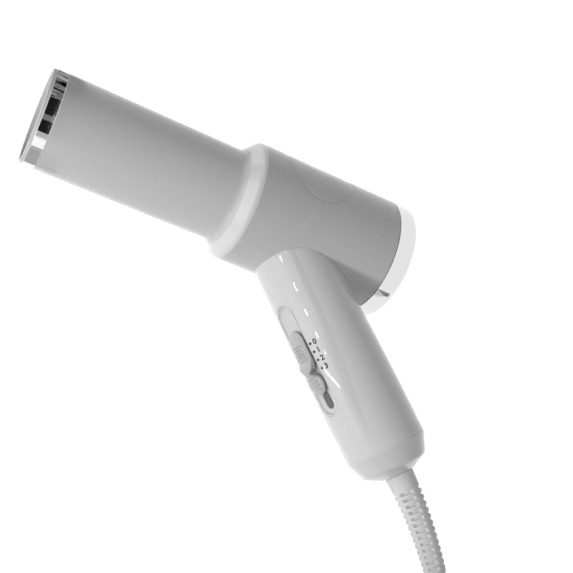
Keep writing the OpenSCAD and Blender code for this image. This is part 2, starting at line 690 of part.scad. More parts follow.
// ---- cord ----
relief_from = on_axis(handle_len);
relief_dir = unit(on_axis(handle_len + 10) - relief_from);
lead_dir = unit(cord_lead[1] - cord_lead[0]);
relief_span = norm(cord_lead[0] - relief_from);
function relief_point(t) = bezier(relief_from, relief_from + relief_dir * relief_span * 0.4,
    cord_lead[0] - lead_dir * relief_span * 0.3, cord_lead[0], t);
relief_steps = 4 * relief_ribs;
function relief_width(i) = let (t = i / relief_steps,
        full = relief_d / 2 + (relief_end_d - relief_d) / 2 * t)
    (i % 4 < 2 || i > relief_steps - 3 || i < 6) ? full : full - 0.9;
module strain_relief() color("white") {
    inner = [for (u = [relief_inside, 4.2, 4, 3.2, 3, 0.3]) on_axis(handle_len - u)];
    inner_r = [relief_flange_r - 1, relief_flange_r - 0.2, relief_flange_r - 0.2,
        relief_flange_r - 0.2, relief_neck_r, relief_neck_r];
    swept(concat(inner, [relief_from + relief_dir * seat],
            [for (i = [0:relief_steps]) relief_point(0.01 + 0.99 * i / relief_steps)]),
        concat(inner_r, [relief_neck_r], [for (i = [0:relief_steps]) relief_width(i)]), 16);
}
module cord_run(points) {
    path = smooth(points, 2);
    swept(path, [for (p = path) cord_d / 2], cord_sides);
}
module mains_cord() color("white") {
    cord_run(cord_lead);
    cord_run(cord_tail);
}
module cord_coil() color("white") translate([coil_at[0], coil_at[1], coil_lift])
    rotate_extrude() translate([coil_d / 2 - coil_w / 2, 0]) {
        translate([cord_d / 2, 0]) square([coil_w - cord_d, coil_h]);
        translate([0, cord_d / 2]) square([coil_w, coil_h - cord_d]);
        for (x = [cord_d / 2, coil_w - cord_d / 2], z = [cord_d / 2, coil_h - cord_d / 2])
            translate([x, z]) circle(d = cord_d, $fn = 32);
    }
module cord_tie() color("dimgray")
    translate([coil_at[0], coil_at[1], 0]) rotate([0, 0, 200])
        translate([coil_d / 2, 0, coil_lift + coil_h / 2]) rotate([90, 0, 0])
            translate([0, 0, -3]) linear_extrude(6) difference() {
                square([coil_w + 1.4, coil_h + 1.4], center = true);
                square([coil_w + 0.5, coil_h + 0.1], center = true);
            }
module plug_body() color("white") translate([plug_at[0], plug_at[1], plug_t / 2]) {
    translate([-boot_len, 0, 0]) along_x()
        cylinder(h = boot_len, r1 = boot_r, r2 = cord_d / 2 + boot_wall);
    hull() for (z = [-1, 1]) translate([-boot_len - plug_len, 0, z * (plug_t / 2 - plug_edge)])
        plug_slice(plug_len - plug_taper, z);
}
// Half of the plug's outline: full width for its length, then in to the boot
module plug_slice(length, z) hull() for (y = [-1, 1]) {
    translate([0, y * (plug_w / 2 - plug_edge), 0]) along_x()
        cylinder(h = length, r = plug_edge, $fn = 24);
    translate([length + plug_taper - 1, y * (boot_r - 0.5), -z * plug_edge]) along_x()
        cylinder(h = 1, r = plug_edge, $fn = 24);
}
module plug_pins() color("silver")
    for (s = [-1, 1]) translate([plug_at[0] - boot_len - plug_len - pin_len,
            plug_at[1] + s * pin_gap / 2, plug_t / 2]) along_x() {
        cylinder(h = pin_len - seat, r = pin_d / 2);
    }

nozzle_tube();
nozzle_ring();
outlet_grille();
heat_sleeve();
heater_boards();
heater_wire();
thermal_cutout();
thermal_fuse();
collar();
body_shell();
badge();
fan_duct();
motor();
motor_board();
motor_shaft();
fan();
intake_filter();
rear_ring();
rear_grille();
handle_shell();
handle_screws();
end_cap();
cord_clamp();
clamp_screws();
switch_track();
speed_slider();
heat_slider();
speed_switch();
heat_switch();
switch_terminals();
supply_wires();
lead_wires();
inner_cord();
strain_relief();
mains_cord();
cord_coil();
cord_tie();
plug_body();
plug_pins();
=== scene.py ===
import json
import math

import bmesh
import bpy
import numpy as np
from mathutils import Matrix, Vector


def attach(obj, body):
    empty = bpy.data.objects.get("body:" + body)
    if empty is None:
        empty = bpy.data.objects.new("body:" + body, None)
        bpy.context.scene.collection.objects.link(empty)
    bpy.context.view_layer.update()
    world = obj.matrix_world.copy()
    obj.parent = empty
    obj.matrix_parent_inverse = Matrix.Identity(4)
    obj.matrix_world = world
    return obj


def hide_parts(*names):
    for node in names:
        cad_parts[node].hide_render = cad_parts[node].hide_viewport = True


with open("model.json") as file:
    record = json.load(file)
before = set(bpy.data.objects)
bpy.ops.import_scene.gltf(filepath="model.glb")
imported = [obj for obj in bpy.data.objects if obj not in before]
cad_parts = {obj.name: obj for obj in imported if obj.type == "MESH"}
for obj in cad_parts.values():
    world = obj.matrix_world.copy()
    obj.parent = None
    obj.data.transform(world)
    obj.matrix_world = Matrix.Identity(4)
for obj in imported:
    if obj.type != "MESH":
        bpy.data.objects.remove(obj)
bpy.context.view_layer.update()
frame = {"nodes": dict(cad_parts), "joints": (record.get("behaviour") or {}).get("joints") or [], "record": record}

record = frame["record"]
print("model loaded:", len(frame["nodes"]), "nodes")

# The dryer's own axes, in millimetres: X along the barrel to the rear, Y to the dryer's top and
# Z to its side, with x = 0 at the collar's seam. How they lie in the frame comes from the outlet
# mount, the middle of the mouth's bore, and from the heat slider's axis, which runs down the handle.
outlet = next(mount for mount in record["mounts"] if mount["name"] == "outlet")
slideAxis = next(joint for joint in frame["joints"] if joint["name"] == "heat_slide")["axis"]
outletX = -115
origin = np.array(outlet["pos_m"]) * 1000 - [outletX, 0, 0]
lean = math.atan2(-slideAxis[2], -slideAxis[1])
rake = math.acos(slideAxis[0])
leanTurn = np.array([[1, 0, 0],
                     [0, math.cos(lean), -math.sin(lean)],
                     [0, math.sin(lean), math.cos(lean)]])


# Points in the dryer's axes, in millimetres, moved to the shared frame, in metres
def toFrame(points):
    return (np.asarray(points, float) @ leanTurn.T + origin) / 1000


# Handle axes: u runs down the handle, v to its rear face, z to its side
def fromHandle(points):
    u, v, z = np.moveaxis(np.asarray(points, float), -1, 0)
    return np.stack([handle["x"] + u * math.cos(rake) + v * math.sin(rake),
                     v * math.cos(rake) - u * math.sin(rake), z], -1)


# Angles evenly round a full turn
def roundAngles(count):
    return np.linspace(0, 2 * math.pi, count, endpoint=False)


# Links an object with the given data into the scene
def addObject(name, data):
    made = bpy.data.objects.new(name, data)
    bpy.context.scene.collection.objects.link(made)
    return made


# A flat face of four corners, in metres, with an empty paint of its own
def addPlane(name, corners):
    mesh = bpy.data.meshes.new(name)
    mesh.from_pydata(corners, [], [(0, 1, 2, 3)])
    paint = bpy.data.materials.new(name)
    paint.use_nodes = True
    mesh.materials.append(paint)
    return addObject(name, mesh), paint.node_tree


# The camera: its place and directions in the dryer's axes, its lens and sensor in millimetres
viewPoint = {
    "place": (-141.96, -285.91, 378.16),
    "right": (0.88622, 0.15576, 0.43629),
    "up": (-0.33196, 0.87042, 0.36355),
    "lens": 54.535,
    "sensor": 36,
    "shift": (0.0986, 0.0497),
}


# The camera's matrix has its right, up and back directions as columns; back is right cross up
def makeCamera():
    data = bpy.data.cameras.new("camera")
    data.lens = viewPoint["lens"]
    data.sensor_width = viewPoint["sensor"]
    data.shift_x, data.shift_y = viewPoint["shift"]
    data.clip_start, data.clip_end = 0.01, 20
    right = Vector(leanTurn @ viewPoint["right"]).normalized()
    up = Vector(leanTurn @ viewPoint["up"])
    up = (up - right * up.dot(right)).normalized()
    matrix = Matrix((right, up, right.cross(up))).transposed().to_4x4()
    matrix.translation = Vector(toFrame(viewPoint["place"]))
    camera = addObject("camera", data)
    camera.matrix_world = matrix
    bpy.context.scene.camera = camera
    return camera


camera = makeCamera()
print("camera made")

# Driving sizes that more than one piece uses, in millimetres
barrel = {"front": -120, "lip": 1.8, "band": 6.4, "tubeR": 26.5, "wall": 2.5, "mouthR": 24.9,
          "mouthLen": 10, "bandR": 25.9, "collarLen": 7.8, "collarRound": 4, "collarRim": 0.6,
          "flareLen": 4.4, "flareRise": 2, "flangeR": 29.8, "flangeLen": 2,
          "spigotR": 30, "spigotLen": 6, "spigotWall": 1.6, "bodyFrom": 0.05, "bodyR": 34.6,
          "bodyLen": 85.6, "bodyWall": 2.2, "ringR": 34.7, "ringFrom": 85.9, "ringTo": 97.5,
          "intakeR": 27}
handle = {"x": 18.6, "r": 23, "topR": 21, "widest": 110, "start": 18, "capU": 146.4,
          "endU": 162, "wall": 2.2, "slopeR": 18, "slopeU": 157.7, "boreR": 5.6,
          "capWall": 2.4}
recess = {"top": 53.6, "end": 119.05, "w": 15, "wall": 0.8, "rim": 0.12, "depth": 2.6,
          "block": 5.6, "slot": (108.4, 112.6), "slotHalf": 3.1}

# The mains cord: lead and tail are points that the cord passes on its way into the coil and out
# to the plug; the coil's slots are (radius, layer) of each turn and of the part turn on top
cordSizes = {
    "d": 7, "length": 1.73,
    "lead": [(147, -120, 9), (150, -124, 7.2), (154, -128.6, 5.4), (160, -133.6, 4),
             (167, -138.8, 3.5), (175, -144.5, 3.6), (182, -149.6, 4)],
    "tail": [(160, -222.6, 25), (150, -222.8, 25), (140, -223, 24.2), (130, -223.4, 21.5),
             (120, -224, 17.5), (110, -224, 14.2), (101, -224, 12.8), (94, -224, 12.5)],
    "coil": (158, -184), "coilStart": 55, "lift": 4.3,
    "slots": [(42, 0), (35, 0), (35, 1), (42, 1), (42, 2), (35, 2), (38.5, 2.9)],
    "lastTurn": 0.4, "perTurn": 20,
}


# Radius of the handle: widest part less a parabola
def handleRadius(u):
    spread = handle["widest"] - handle["start"]
    return handle["r"] - (handle["r"] - handle["topR"]) * ((u - handle["widest"]) / spread) ** 2


# Rises from 0 to 1 between low and high, level at both ends: 3 t squared less 2 t cubed
def smoothStep(value, low, high):
    t = np.clip((value - low) / (high - low), 0, 1)
    return t * t * (3 - 2 * t)


# Cubic curve through four control points, at each t from 0 to 1
def bezier(a, b, c, d, t):
    t = np.asarray(t)[:, None]
    return ((1 - t) ** 3 * a + 3 * (1 - t) ** 2 * t * b + 3 * (1 - t) * t ** 2 * c + t ** 3 * d)


# Centreline of the strain relief: from the handle's end, along its axis, into the cord's lead
def reliefLine(count):
    start = toFrame(fromHandle([handle["endU"], 0, 0])) * 1000
    ahead = toFrame(fromHandle([handle["endU"] + 1, 0, 0])) * 1000 - start
    end, after = (np.array(point, float) for point in cordSizes["lead"][:2])
    onward = (after - end) / np.linalg.norm(after - end)
    span = np.linalg.norm(end - start)
    return bezier(start, start + ahead * span * 0.4, end - onward * span * 0.3, end,
                  np.linspace(0, 1, count))


# Centreline of the coil: each turn holds its radius and level, then eases into the next in its
# last sixth, and a last part of a turn lies in the groove on top
def coilLine():
    stops = np.array(cordSizes["slots"]) * [1, cordSizes["d"]] + [0, cordSizes["lift"]]
    last = len(stops) - 1
    turns = np.arange(0, last + cordSizes["lastTurn"], 1 / cordSizes["perTurn"])
    index = np.minimum(turns.astype(int), last)
    following = np.minimum(index + 1, last)
    ease = smoothStep(turns - index, 5 / 6, 1)[:, None]
    radius, level = (stops[index] + (stops[following] - stops[index]) * ease).T
    angle = np.radians(cordSizes["coilStart"] - 360 * turns)
    return np.stack([cordSizes["coil"][0] + radius * np.cos(angle),
                     cordSizes["coil"][1] + radius * np.sin(angle), level], -1)


# A smooth curve through the points of relief, lead, coil and tail, with a round section
def makeCord():
    line = np.vstack([reliefLine(6)[:-1], cordSizes["lead"][:-1], coilLine(),
                      cordSizes["tail"][1:]]) / 1000
    data = bpy.data.curves.new("mainsCord", "CURVE")
    data.dimensions = "3D"
    data.bevel_depth = cordSizes["d"] / 2000
    data.bevel_resolution = 5
    data.resolution_u = 6
    data.use_fill_caps = True
    spline = data.splines.new("BEZIER")
    spline.bezier_points.add(len(line) - 1)
    spline.bezier_points.foreach_set("co", line.ravel())
    for point in spline.bezier_points:
        point.handle_left_type = point.handle_right_type = "AUTO"
    return addObject("mainsCord", data)


cord = makeCord()
print("cord made")


# Joins other nodes' outputs to a node's inputs, and writes plain values on the rest
def setInputs(node, inputs):
    for socket, value in inputs.items():
        if isinstance(value, bpy.types.NodeSocket):
            node.id_data.links.new(value, node.inputs[socket])
        else:
            node.inputs[socket].default_value = value
    return node


def addNode(tree, kind, inputs):
    return setInputs(tree.nodes.new(kind), inputs)


# Noise whose grains are about the given size in metres on Object coordinates
def addNoise(tree, place, size, detail, stretch=(1, 1, 1)):
    mapping = addNode(tree, "ShaderNodeMapping", {"Vector": place, "Scale": stretch})
    noise = addNode(tree, "ShaderNodeTexNoise", {
        "Vector": mapping.outputs["Vector"], "Scale": 1 / size, "Detail": detail})
    return noise.outputs["Fac"]


# Carries a value linearly from one range to another, clamped at both ends
def addRange(tree, value, fromLow, fromHigh, low, high):
    ranged = addNode(tree, "ShaderNodeMapRange", {
        "Value": value, "From Min": fromLow, "From Max": fromHigh, "To Min": low, "To Max": high})
    return ranged.outputs["Result"]


# A bump of a strength and a depth in metres, on top of another one's normal where it is given
def addBump(tree, height, strength, depth, under=None):
    bump = addNode(tree, "ShaderNodeBump", {
        "Height": height, "Strength": strength, "Distance": depth})
    if under:
        setInputs(bump, {"Normal": under})
    return bump.outputs["Normal"]


# A finish: a pale cloud or flakes between two colours, a drift in the gloss, a moulded skin and,
# where grain is given, a finer grain on it. Sizes of the patterns are in metres.
def makeLook(name, colour, second=None, gloss=0.3, glossDrift=0.04, metal=0, coat=0,
             coatGloss=0.05, cloud=0.03, skin=0.0012, skinDepth=0.02, grain=None, grainDepth=0.1,
             stretch=(1, 1, 1), cells=None, sheen=0):
    look = bpy.data.materials.new(name)
    look.use_nodes = True
    tree = look.node_tree
    place = tree.nodes.new("ShaderNodeTexCoord").outputs["Object"]
    if cells:
        flakes = addNode(tree, "ShaderNodeTexVoronoi", {"Vector": place, "Scale": 1 / cells})
        pattern = flakes.outputs["Color"]
    else:
        pattern = addRange(tree, addNoise(tree, place, cloud, 3, stretch), 0.1, 0.9, 0, 1)
    mix = tree.nodes.new("ShaderNodeMix")
    mix.data_type = "RGBA"
    second = second or [channel * 0.975 for channel in colour]
    setInputs(mix, {"Factor": pattern, "A": (*colour, 1), "B": (*second, 1)})
    drift = addNoise(tree, place, cloud / 3, 4, stretch)
    normal = addBump(tree, addNoise(tree, place, skin, 2, stretch), skinDepth, 0.001)
    if grain:
        normal = addBump(tree, addNoise(tree, place, grain, 1, stretch), grainDepth, 0.0002,
                         normal)
    setInputs(tree.nodes["Principled BSDF"], {
        "Base Color": mix.outputs["Result"],
        "Roughness": addRange(tree, drift, 0.1, 0.9, gloss - glossDrift, gloss + glossDrift),
        "Normal": normal,
        "Metallic": metal,
        "Coat Weight": coat,
        "Coat Roughness": coatGloss,
        "Sheen Weight": sheen,
        "IOR": 1.5,
    })
    return look


rubber = {"gloss": 0.42, "grain": 0.0004, "sheen": 0.1}
# One finish for each of the record's material slots, and four for places on them
finishes = {
    "tube_plastic": {"colour": (0.81, 0.81, 0.813), "gloss": 0.24, "coat": 0.4},
    "body_plastic": {"colour": (0.73, 0.73, 0.733), "gloss": 0.26, "coat": 0.4},
    "white_plastic": {"colour": (0.93, 0.93, 0.93), "gloss": 0.1, "glossDrift": 0.02, "coat": 0.8,
                      "coatGloss": 0.03},
    "badge_plastic": {"colour": (0.73, 0.73, 0.733), "gloss": 0.24, "coat": 0.4},
    "track_plastic": {"colour": (0.8, 0.8, 0.8), "gloss": 0.16, "coat": 0.5},
    "slider_plastic": {"colour": (0.56, 0.56, 0.565), "gloss": 0.14, "metal": 0.15, "coat": 0.7},
    "dark_plastic": {"colour": (0.035, 0.035, 0.037), "gloss": 0.45, "grain": 0.0003},
    "bright_chrome": {"colour": (0.86, 0.86, 0.87), "gloss": 0.05, "glossDrift": 0.01, "metal": 1,
                      "skinDepth": 0.006},
    "rear_chrome": {"colour": (0.78, 0.78, 0.79), "gloss": 0.07, "glossDrift": 0.02, "metal": 1,
                    "skinDepth": 0.006},
    "mica": {"colour": (0.62, 0.5, 0.33), "second": (0.42, 0.32, 0.19), "gloss": 0.4,
             "cells": 0.003, "coat": 0.2},
    "heating_wire": {"colour": (0.3, 0.27, 0.25), "second": (0.2, 0.17, 0.2), "gloss": 0.35,
                     "metal": 1, "grain": 0.0004},
    "steel": {"colour": (0.6, 0.6, 0.62), "gloss": 0.3, "metal": 1, "grain": 0.0003,
              "stretch": (0.1, 1, 1)},
    "brass": {"colour": (0.75, 0.58, 0.28), "second": (0.6, 0.44, 0.2), "gloss": 0.28,
              "metal": 1, "grain": 0.0004},
    "brass_nickel": {"colour": (0.74, 0.71, 0.62), "second": (0.66, 0.62, 0.5), "gloss": 0.2,
                     "metal": 1, "grain": 0.0005, "stretch": (0.15, 1, 1)},
    "circuit_board": {"colour": (0.05, 0.26, 0.11), "second": (0.03, 0.17, 0.08),
                      "gloss": 0.25, "cloud": 0.002, "coat": 0.6},
    "wire_brown": {"colour": (0.2, 0.08, 0.03), "gloss": 0.4},
    "wire_red": {"colour": (0.5, 0.04, 0.03), "gloss": 0.4},
    "cord_rubber": {"colour": (0.84, 0.84, 0.84), **rubber},
    "relief_rubber": {"colour": (0.97, 0.97, 0.97), **rubber},
    "tie_plastic": {"colour": (0.2, 0.2, 0.2), "gloss": 0.5, "grain": 0.0003},
    "plug_rubber": {"colour": (0.84, 0.84, 0.84), **rubber, "gloss": 0.4},
    "handleShine": {"colour": (0.85, 0.85, 0.852), "gloss": 0.32, "coat": 1, "coatGloss": 0.02},
    # painted light: a paler white for the front and inner wall of the mouth
    "mouthPaintedLight": {"colour": (0.97, 0.97, 0.97), "gloss": 0.3},
    # painted shade for the opening of the stem's slot
    "slotShade": {"colour": (0.1, 0.1, 0.1), "gloss": 0.15, "coat": 0.5},
    "ink": {"colour": (0.02, 0.02, 0.02), "gloss": 0.35, "cloud": 0.002},
}
looks = {name: makeLook(name, **finish) for name, finish in finishes.items()}
slotOf = {part["node"]: part["material_slot"] for part in record["subparts"]}
for name, node in frame["nodes"].items():
    node.data.materials.clear()
    node.data.materials.append(looks[slotOf[name]])
print("finishes made:", len(looks))


# Cells of a grid of points, four corners each. A row's last point joins its first; closed
# joins the last row to the first too.
def gridFaces(rows, columns, closed=False):
    i, j = np.meshgrid(np.arange(rows if closed else rows - 1), np.arange(columns),
                       indexing="ij")
    down, right = (i + 1) % rows, (j + 1) % columns
    corners = [i * columns + j, i * columns + right, down * columns + right, down * columns + j]
    return np.stack(corners, -1).reshape(-1, 4)


# Cells between two loops of points with the same count
def bridgeFaces(first, second):
    return np.stack([first, np.roll(first, -1), np.roll(second, -1), second], -1)


# Puts points and cells into a mesh, welds what coincides and turns all faces outwards. Points
# are in the dryer's axes, or in the frame's own in millimetres where inFrame is set.
def addPiece(name, points, faces, slot, body="dryer", stands=(), bevel=0, look=None, smooth=38,
             inFrame=False, weld=1e-6):
    mesh = bpy.data.meshes.new(name)
    placed = np.asarray(points, float).reshape(-1, 3)
    placed = placed / 1000 if inFrame else toFrame(placed)
    mesh.from_pydata(placed.tolist(), [], np.asarray(faces).tolist())
    work = bmesh.new()
    work.from_mesh(mesh)
    bmesh.ops.remove_doubles(work, verts=work.verts, dist=weld)
    bmesh.ops.dissolve_degenerate(work, edges=work.edges, dist=weld / 10)
    bmesh.ops.delete(work, geom=[v for v in work.verts if not v.link_faces], context="VERTS")
    bmesh.ops.recalc_face_normals(work, faces=work.faces)
    work.to_mesh(mesh)
    work.free()
    mesh.polygons.foreach_set("use_smooth", np.ones(len(mesh.polygons), bool))
    mesh.set_sharp_from_angle(angle=math.radians(smooth))
    mesh.materials.append(look or looks[slot])
    piece = addObject(name, mesh)
    if bevel:
        soft = piece.modifiers.new("softEdges", "BEVEL")
        soft.width = bevel / 1000
        soft.segments = 3
        soft.limit_method = "ANGLE"
        soft.angle_limit = math.radians(32)
        soft.harden_normals = True
    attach(piece, body)
    if stands:
        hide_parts(*stands)
    return piece


# A piece from a grid of points: rows, then the points of a row
def addGrid(name, grid, slot, closed=False, **more):
    return addPiece(name, grid, gridFaces(*grid.shape[:2], closed), slot, **more)


# A closed outline of corners [x, r, rounding]: each corner becomes a parabola between its two
# tangent points, with a point just before and after it to keep the flats flat. Rounding takes
# at most 0.42 of a side.
def softOutline(corners, steps=6):
    corners = np.array(corners, float)
    place, rounding = corners[:, :2], corners[:, 2:3]
    before, after = np.roll(place, 1, 0) - place, np.roll(place, -1, 0) - place
    beforeLen = np.linalg.norm(before, axis=1, keepdims=True)
    afterLen = np.linalg.norm(after, axis=1, keepdims=True)
    reach = np.minimum(rounding, 0.42 * np.minimum(beforeLen, afterLen))
    start, end = place + before / beforeLen * reach, place + after / afterLen * reach
    t = np.linspace(0, 1, steps + 1)[None, :, None]
    curve = ((1 - t) ** 2 * start[:, None] + 2 * t * (1 - t) * place[:, None]
             + t ** 2 * end[:, None])
    lead = (place + before / beforeLen * reach * 1.18)[:, None]
    trail = (place + after / afterLen * reach * 1.18)[:, None]
    return np.concatenate([lead, curve, trail], 1).reshape(-1, 2)


# Points round an axis: (along, r cos a, r sin a)
def roundPoints(along, r, angle):
    return np.stack(np.broadcast_arrays(along, r * np.cos(angle), r * np.sin(angle)), -1)


# A closed outline [x, r] turned round the barrel's axis
def turnedPoints(outline, columns):
    return roundPoints(outline[:, :1], outline[:, 1:], roundAngles(columns))


# A piece turned round the barrel's axis from corners [x, r, rounding]
def addTurned(name, corners, slot, stands, steps=6, columns=192, place=None, **more):
    points = turnedPoints(softOutline(corners, steps), columns)
    if place:
        points = place(points)
    return addGrid(name, points, slot, True, stands=stands, **more)


# Paints light on the mouth: gives the second, paler white look to the faces whose middle lies in front of x
def paintLightInMouth(mesh, x):
    mesh.materials.append(looks["mouthPaintedLight"])
    middles = np.empty(len(mesh.polygons) * 3)
    mesh.polygons.foreach_get("center", middles)
    inMouth = middles[::3] < toFrame([x, 0, 0])[0]
    mesh.polygons.foreach_set("material_index", inMouth.astype(np.int32))


# Barrel: nozzle tube, bright band, collar and rear ring are outlines turned round its axis. The
# flare is an arc that starts along the tube and climbs flareRise over flareLen; the collar's
# shoulder is the last eighth of a circle of collarRound.
def makeBarrel():
    b = barrel
    flareR = (b["flareLen"] ** 2 + b["flareRise"] ** 2) / (2 * b["flareRise"])
    flareTurn = 2 * math.atan2(b["flareRise"], b["flareLen"])
    flare = [[-b["collarLen"] - b["flareLen"] + flareR * math.sin(turn),
              b["tubeR"] + flareR * (1 - math.cos(turn)), 1]
             for turn in np.linspace(0, flareTurn, 9)]
    shoulder = [[-b["collarRim"] - b["collarRound"] * math.cos(turn),
                 b["bodyR"] - b["collarRound"] * (1 - math.sin(turn)), 1]
                for turn in np.linspace(math.pi / 4, math.pi / 2, 7)]
    collarFront, foot = -b["collarLen"] + 0.02, b["tubeR"] + b["flareRise"]
    front, bandFrom, bandTo = b["front"], b["front"] + b["lip"], b["front"] + b["lip"] + b["band"]
    inner, seat = b["tubeR"] - b["wall"], b["tubeR"] - 0.6
    mouthEnd = front + b["mouthLen"]
    spigotR, spigotIn = b["spigotR"], b["spigotR"] - b["spigotWall"]
    tube = addTurned("nozzleTube", [
        [front, b["mouthR"], 0.4], [front, b["bandR"], 0.45], [bandTo, b["bandR"], 0.05],
        [bandTo, b["tubeR"], 0.12], *flare, [-b["collarLen"], seat, 0.1], [0.1, seat, 0.1],
        [0.1, b["flangeR"], 0.1], [b["flangeLen"], b["flangeR"], 0.2],
        [b["flangeLen"], inner, 0.2], [mouthEnd, inner, 0.1], [mouthEnd, b["mouthR"], 0.1],
    ], "tube_plastic", ["nozzle_tube"])
    # the mouth's front and inner wall get painted light, a paler white than the tube
    paintLightInMouth(tube.data, mouthEnd - 0.1)
    addTurned("mouthBand", [
        [bandFrom, b["bandR"] + 0.05, 0.1], [bandFrom, b["tubeR"] - 0.06, 0.3],
        [(bandFrom + bandTo) / 2, b["tubeR"], 3], [bandTo - 0.08, b["tubeR"] - 0.04, 0.25],
        [bandTo - 0.08, b["bandR"] + 0.05, 0.1],
    ], "bright_chrome", ["nozzle_ring"], columns=256)
    addTurned("collarRing", [
        [collarFront, seat + 0.05, 0.1], [collarFront, foot + 0.1, 0.3],
        [collarFront + 0.5, foot + 0.6, 0.3], *shoulder, [0, b["bodyR"], 0.12],
        [0, spigotR + 0.2, 0.1], [b["spigotLen"], spigotR, 0.3], [b["spigotLen"], spigotIn, 0.2],
        [-1.5, spigotIn - 0.2, 0.1], [-1.5, seat + 2.2, 0.1], [0, seat + 2.2, 0.1],
        [0, seat + 0.05, 0.1],
    ], "white_plastic", ["collar"])
    addTurned("rearRing", [
        [b["ringFrom"], b["intakeR"], 0.2], [b["ringFrom"], b["ringR"], 0.14],
        [b["ringTo"], b["ringR"], 5.6], [b["ringTo"], b["intakeR"], 0.7],
    ], "rear_chrome", ["rear_ring"], steps=14, columns=256)
    print("barrel made")


# A sheet round an axis, given as (along, front, side). Its grid runs from along = top(angle) to
# end. A block of its cells in front, given as its first row, its last and half its columns, is
# swapped for rings from the block's border to a hole round a core line, each partway between the
# two, so that the mesh follows the hole; near the hole they dip.
def patchedSheet(top, end, radius, columns, rows, block, core, holeR, rings=9, dip=0):
    angle = -math.pi + 2 * math.pi * np.arange(columns) / columns
    t = np.linspace(0, 1, rows)[:, None]
    along = top(angle)[None] + (end - top(angle)[None]) * t
    grid = roundPoints(along, radius(along), angle)
    i0, i1, half = block
    j0, j1 = columns // 2 - half, columns // 2 + half
    index = np.arange(rows * columns).reshape(rows, columns)
    border = np.concatenate([index[i0, j0:j1], index[i0:i1, j1], index[i1, j1:j0:-1],
                             index[i1:i0:-1, j0]])
    edge = grid.reshape(-1, 3)[border][:, [0, 2]]
    middle = np.stack([np.clip(edge[:, 0], *core), np.zeros(len(edge))], -1)
    away = edge - middle
    away /= np.linalg.norm(away, axis=1, keepdims=True)
    hole = middle + away * holeR
    part = (1 - (1 - np.arange(1, rings + 1) / rings) ** 1.5)[:, None, None]
    flat = edge[None] + (hole - edge)[None] * part
    lift = np.sqrt(np.maximum(radius(flat[..., 0]) ** 2 - flat[..., 1] ** 2, 0))
    lift -= (dip * np.clip(part[..., 0] * 2 - 1, 0, 1) ** 2
             * (0.25 + 0.75 * np.clip(away[:, 0], 0, 1)))
    ringPoints = np.stack([flat[..., 0], lift, flat[..., 1]], -1)
    keep = np.ones((rows - 1, columns), bool)
    keep[i0:i1, j0:j1] = False
    faces = gridFaces(rows, columns)[keep.ravel()]
    loops = np.vstack([border, rows * columns + np.arange(rings * len(border))
                       .reshape(rings, -1)])
    for first, second in zip(loops[:-1], loops[1:]):
        faces = np.vstack([faces, bridgeFaces(first, second)])
    points = np.vstack([grid.reshape(-1, 3), ringPoints.reshape(-1, 3)])
    return points, faces, {"top": index[0], "end": index[-1], "hole": loops[-1],
                           "middle": middle, "away": away, "angle": angle}


badge = {"x": 33.5, "turn": math.radians(57), "r": 22, "sink": 1, "gap": 0.07, "dip": 0.4}


# Badge axes turned round the barrel: front is along the badge's normal, side is across it
def fromBadge(points):
    x, front, side = np.moveaxis(points, -1, 0)
    cosine, sine = math.cos(badge["turn"]), math.sin(badge["turn"])
    return np.stack([x, front * cosine - side * sine, front * sine + side * cosine], -1)


# A formula that has one value everywhere
def constant(value):
    return lambda place: np.full_like(place, value)


# Body: a patched sheet round the barrel, whose hole is closed by a seat for the badge, rings on
# a cylinder sunk below the body's, and a plain inner sheet one wall in
def makeBody():
    b, columns, rows = barrel, 240, 110
    x0, x1 = b["bodyFrom"], b["bodyLen"]
    core = (badge["x"], badge["x"])
    holeR = badge["r"] + badge["gap"]
    outer, faces, loops = patchedSheet(constant(x0), x1, constant(b["bodyR"]), columns, rows,
                                       (7, 79, 36), core, holeR, rings=14, dip=badge["dip"])
    hole = len(loops["hole"])
    seatRings = []
    for share in (1, 0.96, 0.75, 0.5, 0.25, 0):
        flat = loops["middle"] + loops["away"] * holeR * share
        lift = np.sqrt((b["bodyR"] - badge["sink"]) ** 2 - flat[:, 1] ** 2)
        seatRings.append(np.stack([flat[:, 0], lift, flat[:, 1]], -1))
    innerR = b["bodyR"] - b["bodyWall"]
    inner = roundPoints(np.linspace(x0, x1, 3)[:, None], innerR, loops["angle"])
    base = len(outer)
    points = np.vstack([outer, *seatRings, inner.reshape(-1, 3)])
    last = loops["hole"]
    for ring in range(len(seatRings)):
        following = base + ring * hole + np.arange(hole)
        faces = np.vstack([faces, bridgeFaces(last, following)])
        last = following
    start = base + len(seatRings) * hole
    faces = np.vstack([faces, gridFaces(3, columns) + start,
                       bridgeFaces(loops["top"], start + np.arange(columns)),
                       bridgeFaces(loops["end"], start + 2 * columns + np.arange(columns))])
    addPiece("bodyShell", fromBadge(points), faces, "body_plastic", stands=["body_shell"],
             bevel=0.2)


# Badge: rings from its centre to its edge on a cylinder just under the body's, then down its
# side and back to the centre on a smaller cylinder
def makeBadge():
    edge = np.linspace(0, 1, 9)
    shares = np.concatenate([[0, 0.3, 0.6, 0.78], 0.8 + 0.19 * edge, [1, 1, 0.9, 0.5, 0]])
    drops = np.concatenate([[0] * 4, 0.3 * edge ** 2.4, [0.45] + [0.9] * 4]) + 0.03
    angle = roundAngles(160)
    x = badge["x"] + badge["r"] * shares[:, None] * np.cos(angle)
    side = badge["r"] * shares[:, None] * np.sin(angle)
    front = np.sqrt((barrel["bodyR"] - drops[:, None]) ** 2 - side ** 2)
    addGrid("badgeDisc", fromBadge(np.stack([x, front, side], -1)), "badge_plastic",
            stands=["badge"])
    print("body and badge made")


